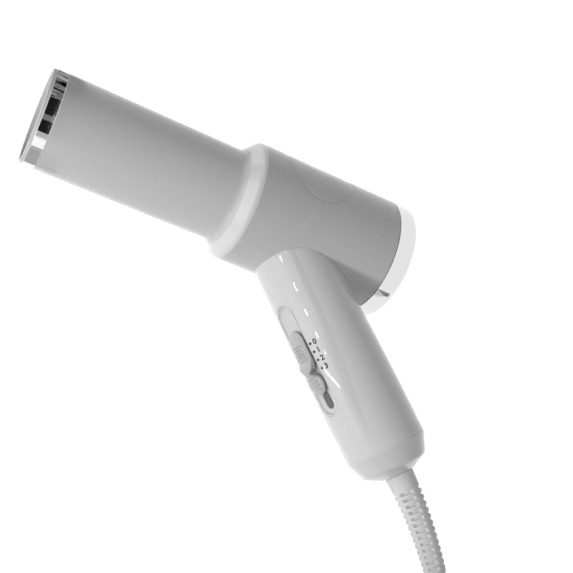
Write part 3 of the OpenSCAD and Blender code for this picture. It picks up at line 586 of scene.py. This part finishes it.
# Where the handle's surface, less the inset, meets the round of the barrel: u solved from the
# distance of its point from the barrel's axis, with the handle's radius taken at the last u
def saddle(angle, inset):
    u = np.full_like(angle, 45.0)
    reach = barrel["bodyR"] + 0.12
    for repeat in range(8):
        r = handleRadius(u) - inset
        u = (np.sqrt(reach ** 2 - (r * np.sin(angle)) ** 2)
             - r * np.cos(angle) * math.cos(rake)) / math.sin(rake)
    return u


# A sheet's (along, front, side) put on the handle
def fromGrip(points):
    along, front, side = np.moveaxis(points, -1, 0)
    return fromHandle(np.stack([along, -front, side], -1))


# Handle: an outer and an inner patched sheet, joined at the saddle, at the cap and round the
# recess, and an end cap turned round the handle's axis
def makeHandle():
    halfW = recess["w"] / 2 + 0.1
    core = (recess["top"] + recess["w"] / 2, recess["end"] - recess["w"] / 2)
    sheets = []
    for inset in (0, handle["wall"]):
        sheets.append(patchedSheet(lambda angle: saddle(angle, inset), handle["capU"],
                                   lambda u: handleRadius(u) - inset, 180, 130,
                                   (20, 110, 24), core, halfW))
    (outer, outerFaces, outerLoops), (inner, innerFaces, innerLoops) = sheets
    shift = len(outer)
    joins = [bridgeFaces(outerLoops[rim], innerLoops[rim] + shift)
             for rim in ("top", "end", "hole")]
    addPiece("handleShell", fromGrip(np.vstack([outer, inner])),
             np.vstack([outerFaces, innerFaces + shift, *joins]), "white_plastic",
             stands=["handle_shell"], bevel=0.08, look=looks["handleShine"])
    capU, capR = handle["capU"], float(handleRadius(handle["capU"]))
    capIn, endU, boreR = capR - handle["capWall"], handle["endU"], handle["boreR"]
    addTurned("endCap", [
        [capU + 0.02, capIn, 0.1], [capU + 0.02, capR, 0.04], [capU + 0.7, capR, 0.3],
        [handle["slopeU"], handle["slopeR"], 1.5], [endU, 9.4, 0.5], [endU, boreR, 0.2],
        [endU - 4, boreR, 0.2], [endU - 8, 15, 1], [capU + 4, capIn, 1],
    ], "white_plastic", ["end_cap"], steps=8, look=looks["handleShine"], place=fromGrip)
    print("handle made")


# Directions and core points round an oblong: half a circle at each end and the straight sides
def oblongLoop(core, steps=20, sides=26):
    arc = np.linspace(-math.pi / 2, math.pi / 2, steps)
    run = np.linspace(core[0], core[1], sides)[1:-1]
    middle = np.concatenate([np.full(steps, core[1]), run[::-1], np.full(steps, core[0]), run])
    along = np.concatenate([np.cos(arc), 0 * run, -np.cos(arc), 0 * run])
    side = np.concatenate([np.sin(arc), 0 * run + 1, -np.sin(arc), 0 * run - 1])
    return middle, along, side


# Track: rings round an oblong, from its underside out to its wall, up to a rim that follows
# the handle, down a curved channel and in to the middle of its floor; the stem's slot is a thin
# dark oblong on that floor, painted shade where the slot opens. A profile's row is (reach from
# the core, drop below the surface, whether that surface is the handle's or the flat face of the
# recess).
def makeTrack():
    half = recess["w"] / 2
    middle, along, side = oblongLoop((recess["top"] + half, recess["end"] - half))
    face = -handle["r"]
    channel = half - recess["wall"]
    under, floor = recess["block"], recess["depth"]
    profile = [(0, under, 0), (half * 0.6, under, 0), (half, under, 0),
               (half, 2, 0), (half, 0, 1), (half - 0.3, -0.02, 1), (channel + 0.3, -0.02, 1),
               (channel, 0.25, 1), (channel - 0.1, floor - 1.1, 0), (channel - 0.4, floor - 0.5, 0),
               (channel - 1, floor - 0.2, 0), (channel - 2, floor - 0.04, 0),
               (channel - 4.5, floor, 0), (0, floor, 0)]
    rings = []
    for reach, drop, onSkin in profile:
        u, z = middle + along * reach, side * reach
        skin = -np.sqrt((handleRadius(u) - recess["rim"]) ** 2 - z ** 2)
        rings.append(np.stack([u, skin + drop if onSkin else face + drop + 0 * u, z], -1))
    addGrid("switchTrack", fromHandle(rings), "track_plastic", stands=["switch_track"],
            smooth=50)
    # The stem's slot: a dark oblong of painted shade in place of the opening in the floor
    slotHalf = recess["slotHalf"]
    middle, along, side = oblongLoop(recess["slot"], 12, 20)
    rings = [np.stack([middle + along * slotHalf * reach, face + depth + 0 * middle,
                       side * slotHalf * reach], -1)
             for reach, depth in ((0, floor - 0.04), (0.9, floor - 0.04), (1, floor - 0.02),
                                  (1, floor + 0.3), (0, floor + 0.3))]
    addGrid("stemSlotShade", fromHandle(rings), "dark_plastic", look=looks["slotShade"])


# Slider: rows across an oblong plan. Each row runs up one side, over the top and down the
# other; the top's height is a line along the slider, less a round-over at the plan's edge,
# plus its ribs.
def addSlider(name, sizes, stands, body):
    u0, u1, half = sizes["from"], sizes["to"], sizes["halfW"]
    share = np.linspace(0, 1, sizes["rows"])
    u = u0 + (u1 - u0) * (share - 0.06 * np.sin(2 * math.pi * share))
    halfU = min(half, (u1 - u0) / 2)
    off = (u - np.clip(u, u0 + halfU, u1 - halfU)) * half / halfU
    width = np.sqrt(np.maximum(half ** 2 - off ** 2, 1e-9))
    across = np.sin(np.linspace(-math.pi / 2, math.pi / 2, 49))
    z = width[:, None] * across
    fromCore = np.sqrt(off[:, None] ** 2 + z ** 2)
    edge = sizes["round"]
    drop = edge - np.sqrt(edge ** 2 - (edge - np.clip(half - fromCore, 0, edge)) ** 2)
    height = np.interp(u, sizes["line"][0], sizes["line"][1])[:, None] + 0 * z
    height = height - (z / half) ** 2 * sizes["crown"]
    for at in sizes["ribs"]:
        bar = np.exp(-((u[:, None] - at) / sizes["ribW"]) ** 4)
        fade = 1 / (1 + np.exp((np.abs(z) - half * 0.62) * 6))
        height = height + sizes["ribH"] * bar * fade
    v = -handle["r"] - height + drop
    top = np.stack([u[:, None] + 0 * z, v, z], -1)
    foot = np.full(len(u), -handle["r"] + sizes["foot"])
    left = np.stack([u, foot, z[:, 0]], -1)[:, None]
    right = np.stack([u, foot, z[:, -1]], -1)[:, None]
    grid = np.concatenate([left, top, right], 1)
    addGrid(name, fromHandle(grid), "slider_plastic", body=body, stands=stands, weld=2e-5)


# Two sliders in one channel. The line gives the height over the handle's face at places along
# the slider; ribs are at the places named, each a flat-topped bump that fades to the sides.
def makeSliders():
    both = {"halfW": 6.3, "crown": 0.95, "foot": 0.7}
    addSlider("speedSlider", {
        **both, "from": 69.35, "to": 93.95, "round": 0.7, "rows": 150,
        "line": ([69.35, 73.4, 78.4, 86.9, 89.4, 93.95], [-0.35, 0.75, 1.1, 1.5, 2.9, 3.0]),
        "ribs": [77.6, 79.3, 81, 82.7, 84.4, 86.1], "ribW": 0.42, "ribH": 0.7,
    }, ["speed_slider"], "speed_knob")
    addSlider("heatSlider", {
        **both, "from": 94.3, "to": 106.5, "round": 0.6, "rows": 90,
        "line": ([94.3, 95, 103.1, 106.5], [1.7, 1.75, 1.3, -0.5]),
        "ribs": [96.3, 98.7, 101.1, 103.5], "ribW": 0.6, "ribH": 0.8,
    }, ["heat_slider"], "heat_knob")
    print("switch made")


# Prints beside the speed slider: a dot and a figure for each position. Each stands thick above
# the handle's surface and goes sunk times as far below it.
prints = {"u": [79.6, 84.4, 89.2, 94], "words": ["0", "1", "2", "3"], "aside": 8.8,
          "dotR": 0.75, "gap": 1.9, "size": 4.1, "bold": 0.14, "thick": 0.05, "sunk": 0.4}


# Flat shapes wrapped on the handle. A point is (round, up, level) from a place on the surface,
# level in thicknesses; its angle is the round way over the handle's radius.
def wrapOnHandle(flat, u, aside):
    r = handleRadius(u)
    angle = (aside + flat[..., 0]) / r
    out = r + prints["thick"] * flat[..., 2]
    return fromHandle(np.stack([u - flat[..., 1], -out * np.cos(angle), out * np.sin(angle)], -1))


# Dot: rings from the middle of its face to its edge, and back to the middle underneath
def makeDot(name, u):
    angle = roundAngles(28)
    reach = prints["dotR"] * np.array([0, 0.6, 1, 1, 0.6, 0])[:, None]
    level = np.repeat([1, -prints["sunk"]], 3)[:, None] + 0 * angle
    flat = np.stack([reach * np.cos(angle), reach * np.sin(angle), level], -1)
    addGrid(name, wrapOnHandle(flat, u, prints["aside"]), "dark_plastic", look=looks["ink"])


# Figure: a solid letter whose two faces take the levels of the dot's
def makeFigure(name, u, word):
    data = bpy.data.curves.new(name, "FONT")
    data.body = word
    data.size = prints["size"]
    data.extrude = 0.5
    data.offset = prints["bold"]
    data.resolution_u = 6
    data.align_y = "CENTER"
    text = addObject(name + "Text", data)
    shape = bpy.data.meshes.new_from_object(text)
    bpy.data.objects.remove(text)
    flat = np.empty(len(shape.vertices) * 3)
    shape.vertices.foreach_get("co", flat)
    flat = flat.reshape(-1, 3)
    flat[:, 2] = np.where(flat[:, 2] > 0, 1, -prints["sunk"])
    placed = toFrame(wrapOnHandle(flat, u, prints["aside"] + prints["gap"]))
    shape.vertices.foreach_set("co", placed.ravel())
    shape.update()
    shape.materials.clear()
    shape.materials.append(looks["ink"])
    piece = addObject(name, shape)
    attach(piece, "dryer")


def makePrints():
    for count, (u, word) in enumerate(zip(prints["u"], prints["words"])):
        makeDot(f"dotMark{count}", u)
        makeFigure(f"figureMark{count}", u, word)
    print("prints made")


relief = {"r": 8, "endR": 5.8, "coreR": 4.3, "pitch": 3.5, "slotShare": 0.46, "slotHalf": 28,
          "ribH": 0.25, "plain": 9.5, "endPlain": 2.5, "turn": 45, "rings": 360, "columns": 144,
          "neckR": 5.4}


# Directions along a line: tangent by differences, side = tangent cross up, out = side cross tangent
def sweepFrames(line, up):
    tangent = np.gradient(line, axis=0)
    tangent /= np.linalg.norm(tangent, axis=1, keepdims=True)
    side = np.cross(tangent, up)
    side /= np.linalg.norm(side, axis=1, keepdims=True)
    return tangent, side, np.cross(side, tangent)


# Strain relief: rings along its centreline, square to its tangent. The radius tapers, and in
# each pitch it drops to the core where a slot is open: four slots round, with bars between, and
# a low rib on each collar between two slots. Rings of its own close each end.
def makeRelief():
    line = reliefLine(relief["rings"])
    along = np.concatenate([[0], np.cumsum(np.linalg.norm(np.diff(line, axis=0), axis=1))])
    front = toFrame(fromHandle([0, -1, 0])) * 1000 - toFrame(fromHandle([0, 0, 0])) * 1000
    tangent, side, out = sweepFrames(line, front)
    angle = roundAngles(relief["columns"])
    envelope = relief["r"] + (relief["endR"] - relief["r"]) * (along / along[-1]) ** 0.8
    phase = ((along - relief["plain"]) / relief["pitch"]) % 1
    slotEnd = relief["slotShare"]
    ends = (along > relief["plain"]) & (along < along[-1] - relief["endPlain"])
    slotLen = smoothStep(phase, 0.02, 0.1) * (1 - smoothStep(phase, slotEnd, slotEnd + 0.08))
    slotLen = slotLen * ends
    turned = (np.degrees(angle) - relief["turn"] + 45) % 90 - 45
    slotRound = 1 - smoothStep(np.abs(turned), relief["slotHalf"] - 3, relief["slotHalf"] + 3)
    share = np.clip(phase - slotEnd, 0, 1) / (1 - slotEnd)
    rib = relief["ribH"] * np.sin(share * math.pi) * ends
    full = envelope + rib
    radius = full[:, None] - (full - relief["coreR"])[:, None] * (slotLen[:, None] * slotRound)
    points = (line[:, None] + out[:, None] * (radius * np.cos(angle))[..., None]
              + side[:, None] * (radius * np.sin(angle))[..., None])
    neckR, endR = relief["neckR"], relief["endR"]
    atStart = [(0, -3, 0), (0, -3, neckR), (0, 0.05, neckR), (0, 0.12, relief["r"] - 0.4),
               (0, 0.4, relief["r"])]
    atEnd = [(-1, 0.3, endR - 0.15), (-1, 0.6, endR - 0.6), (-1, 0.62, 3.4), (-1, 0.2, 0)]

    # A circle of radius r across the line's end, pushed along its tangent
    def circle(end, push, r):
        return (line[end] + tangent[end] * push + np.outer(np.cos(angle), out[end]) * r
                + np.outer(np.sin(angle), side[end]) * r)

    rings = np.concatenate([[circle(*row) for row in atStart], points[3:],
                            [circle(*row) for row in atEnd]])
    print("strain relief made")
    return addGrid("strainRelief", rings, "relief_rubber", stands=["strain_relief"],
                   inFrame=True, smooth=50)


# Half widths and half heights of the plug at places along it, from the cord to its face, and
# its two rows of ribs as height, pitch, start and end
plug = {
    "at": (94, -224, 12.5), "pinR": 2.4, "pinLen": 18.9, "pinGap": 19,
    "gripRibs": (0.35, 2.4, 30, 47), "bootRibs": (0.3, 3, 1, 22),
    "x": [0, 0.05, 4, 8, 12, 16, 20, 24, 25, 26.5, 29, 33, 40, 48, 54, 56.2, 56.8, 57, 57],
    "wide": [0, 4.9, 5.2, 5.6, 6, 6.5, 7, 7.6, 8.6, 10.5, 13.2, 15.6, 17.3, 17.4, 17.3, 16.9,
             16.2, 15.5, 0],
    "high": [0, 4.9, 5.2, 5.6, 6, 6.5, 7, 7.6, 8.2, 9, 10, 11.2, 12.2, 12.3, 12.2, 11.9, 11.4,
             10.8, 0],
}


# A cosine of the place, inside its start and end
def plugRibs(x, height, pitch, start, end):
    return height * np.cos(x / pitch * 2 * math.pi) * ((x > start) & (x < end))


# Plug: rows along X, each a superellipse of those half sizes whose power falls from an ellipse's
# on the boot to a rounded oblong's on the body, and two turned pins
def makePlug():
    x = plug["x"]
    fine = np.concatenate([x[:2], np.linspace(0.4, 56, 140), x[-4:]])
    wide, high = np.interp(fine, x, plug["wide"]), np.interp(fine, x, plug["high"])
    grip, bootRibs = plugRibs(fine, *plug["gripRibs"]), plugRibs(fine, *plug["bootRibs"])
    angle = roundAngles(96)
    power = np.interp(fine, [24, 32], [1, 0.62])[:, None]
    cosine, sine = np.cos(angle), np.sin(angle)
    across = np.sign(cosine) * np.abs(cosine) ** power * (wide + bootRibs + grip)[:, None]
    above = np.sign(sine) * np.abs(sine) ** power * (high + bootRibs)[:, None]
    cx, cy, cz = plug["at"]
    points = np.stack([cx - fine[:, None] + 0 * across, cy + across, cz + above], -1)
    body = addGrid("plugBody", points, "plug_rubber", stands=["plug_body"], inFrame=True,
                   smooth=60)
    pinR, pinLen = plug["pinR"], plug["pinLen"]
    outline = softOutline([[0, 0.01, 0.005], [0, pinR, 0.2], [pinLen, pinR, 1.2],
                           [pinLen, 0.01, 0.005]])
    pin = turnedPoints(outline, 48) * [-1, 1, 1] + [cx - x[-1], cy, cz]
    pins = [pin + [0, way * plug["pinGap"] / 2, 0] for way in (-1, 1)]
    faces = gridFaces(len(outline), 48, True)
    prongs = addPiece("plugPins", pins, np.vstack([faces, faces + len(outline) * 48]),
                      "brass_nickel", stands=["plug_pins"], inFrame=True)
    return body, prongs


tie = {"turn": math.radians(200), "r": 38.5, "z": 11.3, "halfW": 7.45, "halfH": 10.8,
       "corner": 3.2, "strapHalf": 3, "strapT": 0.5, "lowest": 0.05}


# Tie: a strap's section carried round a rounded oblong that goes round the coil's section
def makeTie():
    angle = roundAngles(96)
    cosine, sine = np.cos(angle), np.sin(angle)
    half, thick = tie["strapHalf"], tie["strapT"]
    section = softOutline([[-half, 0, 0.2], [half, 0, 0.2], [half, thick, 0.2],
                           [-half, thick, 0.2]], 3)
    across, lift = section[:, :1], section[:, 1:]
    r = (tie["r"] + np.sign(cosine) * (tie["halfW"] - tie["corner"])
         + (tie["corner"] + lift) * cosine)
    z = tie["z"] + np.sign(sine) * (tie["halfH"] - tie["corner"]) + (tie["corner"] + lift) * sine
    outward = np.array([math.cos(tie["turn"]), math.sin(tie["turn"])])
    onward = np.array([-outward[1], outward[0]])
    flat = (np.array(cordSizes["coil"]) + r[..., None] * outward
            + across[..., None] * onward)
    points = np.concatenate([flat, np.maximum(z, tie["lowest"])[..., None]], -1)
    return addGrid("cordTie", points, "tie_plastic", True, stands=["cord_tie"], inFrame=True)


makeBarrel()
makeBody()
makeBadge()
makeHandle()
makeTrack()
makeSliders()
makePrints()
reliefPiece = makeRelief()
plugBody, plugPins = makePlug()
cordTie = makeTie()
cord.data.materials.append(looks["cord_rubber"])
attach(cord, "dryer")
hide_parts("mains_cord", "cord_coil")
print("cord pieces made")


# Floor: pale and plain. Camera, glossy and glass rays see it white, with the shadow left in.
# Lamps are soft and low on the nozzle's side; only matt light comes from them. A lamp is its
# name, its place in metres from the dryer, its two sizes and its power.
studio = {
    "floor": (0.82, 0.82, 0.82), "floorGlow": 0.82, "floorHalf": 4, "floorZ": -0.0004,
    "sky": 0.265, "middle": (0, -20, 0), "aim": (20, -30, 0),
    "lamps": [("keyLamp", (-0.95, -0.1, 0.6), (0.8, 0.24), 2.3),
              ("lowLamp", (-0.74, -0.54, 0.75), (0.8, 0.2), 5.9),
              ("frontLamp", (-0.68, 0.29, 0.36), (0.5, 0.2), 1.3)],
}


# 1 for the rays that see a white background, which are camera, glossy and glass rays, otherwise 0
def seenRays(tree):
    rays = tree.nodes.new("ShaderNodeLightPath").outputs
    seen = rays["Is Camera Ray"]
    for name in ("Is Glossy Ray", "Is Transmission Ray"):
        larger = addNode(tree, "ShaderNodeMath", {0: seen, 1: rays[name]})
        larger.operation = "MAXIMUM"
        seen = larger.outputs[0]
    return seen


# Shows one shader to all rays but those that see a white background, which get the other
def showWhite(tree, output, plain, white):
    choice = addNode(tree, "ShaderNodeMixShader", {
        "Fac": seenRays(tree), 1: plain.outputs[0], 2: white.outputs[0]})
    setInputs(tree.nodes[output], {"Surface": choice.outputs[0]})


# Floor: a square whose paint adds its glow for the rays that see it white
def makeFloor():
    side, z = studio["floorHalf"], studio["floorZ"]
    floor, tree = addPlane("floor", [(-side, -side, z), (side, -side, z), (side, side, z),
                                     (-side, side, z)])
    paint = setInputs(tree.nodes["Principled BSDF"], {
        "Base Color": (*studio["floor"], 1), "Roughness": 0.9, "Specular IOR Level": 0})
    glow = addNode(tree, "ShaderNodeEmission", {"Strength": studio["floorGlow"]})
    both = addNode(tree, "ShaderNodeAddShader", {0: paint.outputs[0], 1: glow.outputs[0]})
    showWhite(tree, "Material Output", paint, both)


# Sky: a plain grey light, white for the rays that see it
def makeSky():
    world = bpy.data.worlds.new("studio")
    bpy.context.scene.world = world
    world.use_nodes = True
    tree = world.node_tree
    colour = (1, 1, 1, 1)
    plain = setInputs(tree.nodes["Background"], {"Color": colour, "Strength": studio["sky"]})
    white = addNode(tree, "ShaderNodeBackground", {"Color": colour, "Strength": 1})
    showWhite(tree, "World Output", plain, white)


# A place given from the middle of the dryer along the camera's right, up and back, in metres
def fromCamera(right, up, back):
    axes = camera.matrix_world.to_3x3()
    return Vector(toFrame(studio["middle"])) + axes @ Vector((right, up, back))


# A rectangle of light turned to the dryer, which gloss doesn't show
def addLamp(name, place, size, power):
    data = bpy.data.lights.new(name, "AREA")
    data.shape = "RECTANGLE"
    data.size, data.size_y = size
    data.energy = power
    lamp = addObject(name, data)
    lamp.location = fromCamera(*place)
    aim = Vector(toFrame(studio["aim"])) - lamp.location
    lamp.rotation_euler = aim.to_track_quat("-Z", "Y").to_euler()
    lamp.visible_glossy = False


# What polished faces show are cards, which only glossy rays see. Flags stand round the bright
# band: name, turns from the dryer's top at which it starts and ends, distance, tone, mottled or
# not; they reach front and back of the band. Shades lie under the mouth: y, y and tone. Strips
# stand beside the handle: middle, half along it, half across; the long one: two ends, half across.
cards = {
    "band": {"x": -115, "at": (-12, 24), "slant": 0.06, "front": 90, "back": 14},
    "flags": [("darkFlag", 72, 117, 280, 0.012, 0), ("dimFlag", 130, 159, 280, 0.012, 0),
              ("paleFlag", 117, 130, 300, 0.2, 0), ("softFlag", 159, 172, 280, 0.5, 0),
              ("mottledWall", -24, 73, 110, 0.17, 1)],
    "shadeX": (-150, -98), "shadeZ": -33.6,
    "shades": [(-30, -100, 0.42), (-100, -111, 0.6), (-111, -127, 0.36)],
    "strips": [((-317, -169, 175), 4.2, 17), ((-292, -198, 189), 4.2, 17),
               ((-285, -234, 161), 4.2, 17), ((-270, -260, 157), 4.2, 17),
               ((-262, -283, 152), 3, 12)],
    "longStrip": [(-146, -224, -28), (-231, -327, 137), 4],
    "facing": (80, -18, 13), "glow": 13, "mottle": 0.02,
}


# A flat card of four corners that gives off a tone, or a mottle between none and 2.6 times it
def addCard(name, corners, tone, mottle=0):
    card, tree = addPlane(name, toFrame(corners).tolist())
    if mottle:
        place = tree.nodes.new("ShaderNodeTexCoord").outputs["Object"]
        noise = addNoise(tree, place, cards["mottle"], 6)
        tone = addRange(tree, noise, 0.35, 0.65, 0, tone * 2.6)
    glow = addNode(tree, "ShaderNodeEmission", {"Strength": tone})
    setInputs(tree.nodes["Material Output"], {"Surface": glow.outputs[0]})
    for kind in ("camera", "diffuse", "transmission", "volume_scatter", "shadow"):
        setattr(card, f"visible_{kind}", False)


# Flags: at the middle of its turn a flag stands far off and square to the line from the band,
# and reaches far times the tangent of half its turn to each side
def makeFlags():
    band = cards["band"]
    for name, start, end, far, tone, mottle in cards["flags"]:
        half, middle = math.radians(end - start) / 2, math.radians(start + end) / 2
        ahead = np.array([math.cos(middle), math.sin(middle)])
        across = np.array([-ahead[1], ahead[0]]) * math.tan(half)
        x = band["x"] + band["slant"] * far
        x0, x1 = x - band["front"], x + band["back"]
        first, last = (band["at"] + far * (ahead + side * across) for side in (-1, 1))
        addCard(name, [(x0, *first), (x1, *first), (x1, *last), (x0, *last)], tone, mottle)


# Shades: rectangles that lie on the leaning floor
def makeShades():
    x0, x1 = cards["shadeX"]
    for count, (y0, y1, tone) in enumerate(cards["shades"]):
        y = np.array([y0, y0, y1, y1])
        z = cards["shadeZ"] - y * math.tan(lean)
        addCard(f"floorShade{count}", np.stack([[x0, x1, x1, x0], y, z], -1), tone)


# Strips: each is widened square to its own length and to the line to the place that it faces
def makeStrips():
    grip = np.array([math.cos(rake), -math.sin(rake), 0])
    facing = fromHandle(cards["facing"])
    rows = [(np.array(middle) - grip * along, np.array(middle) + grip * along, across)
            for middle, along, across in cards["strips"]]
    rows.append([np.array(part) for part in cards["longStrip"]])
    for count, (start, end, across) in enumerate(rows):
        sideways = np.cross(end - start, facing - (start + end) / 2)
        sideways *= across / np.linalg.norm(sideways)
        addCard(f"brightStrip{count}", [start - sideways, end - sideways, end + sideways,
                                        start + sideways], cards["glow"])


makeFloor()
makeSky()
makeFlags()
makeShades()
makeStrips()
for lamp in studio["lamps"]:
    addLamp(*lamp)
bpy.context.scene.view_settings.view_transform = "Standard"
print("studio made")
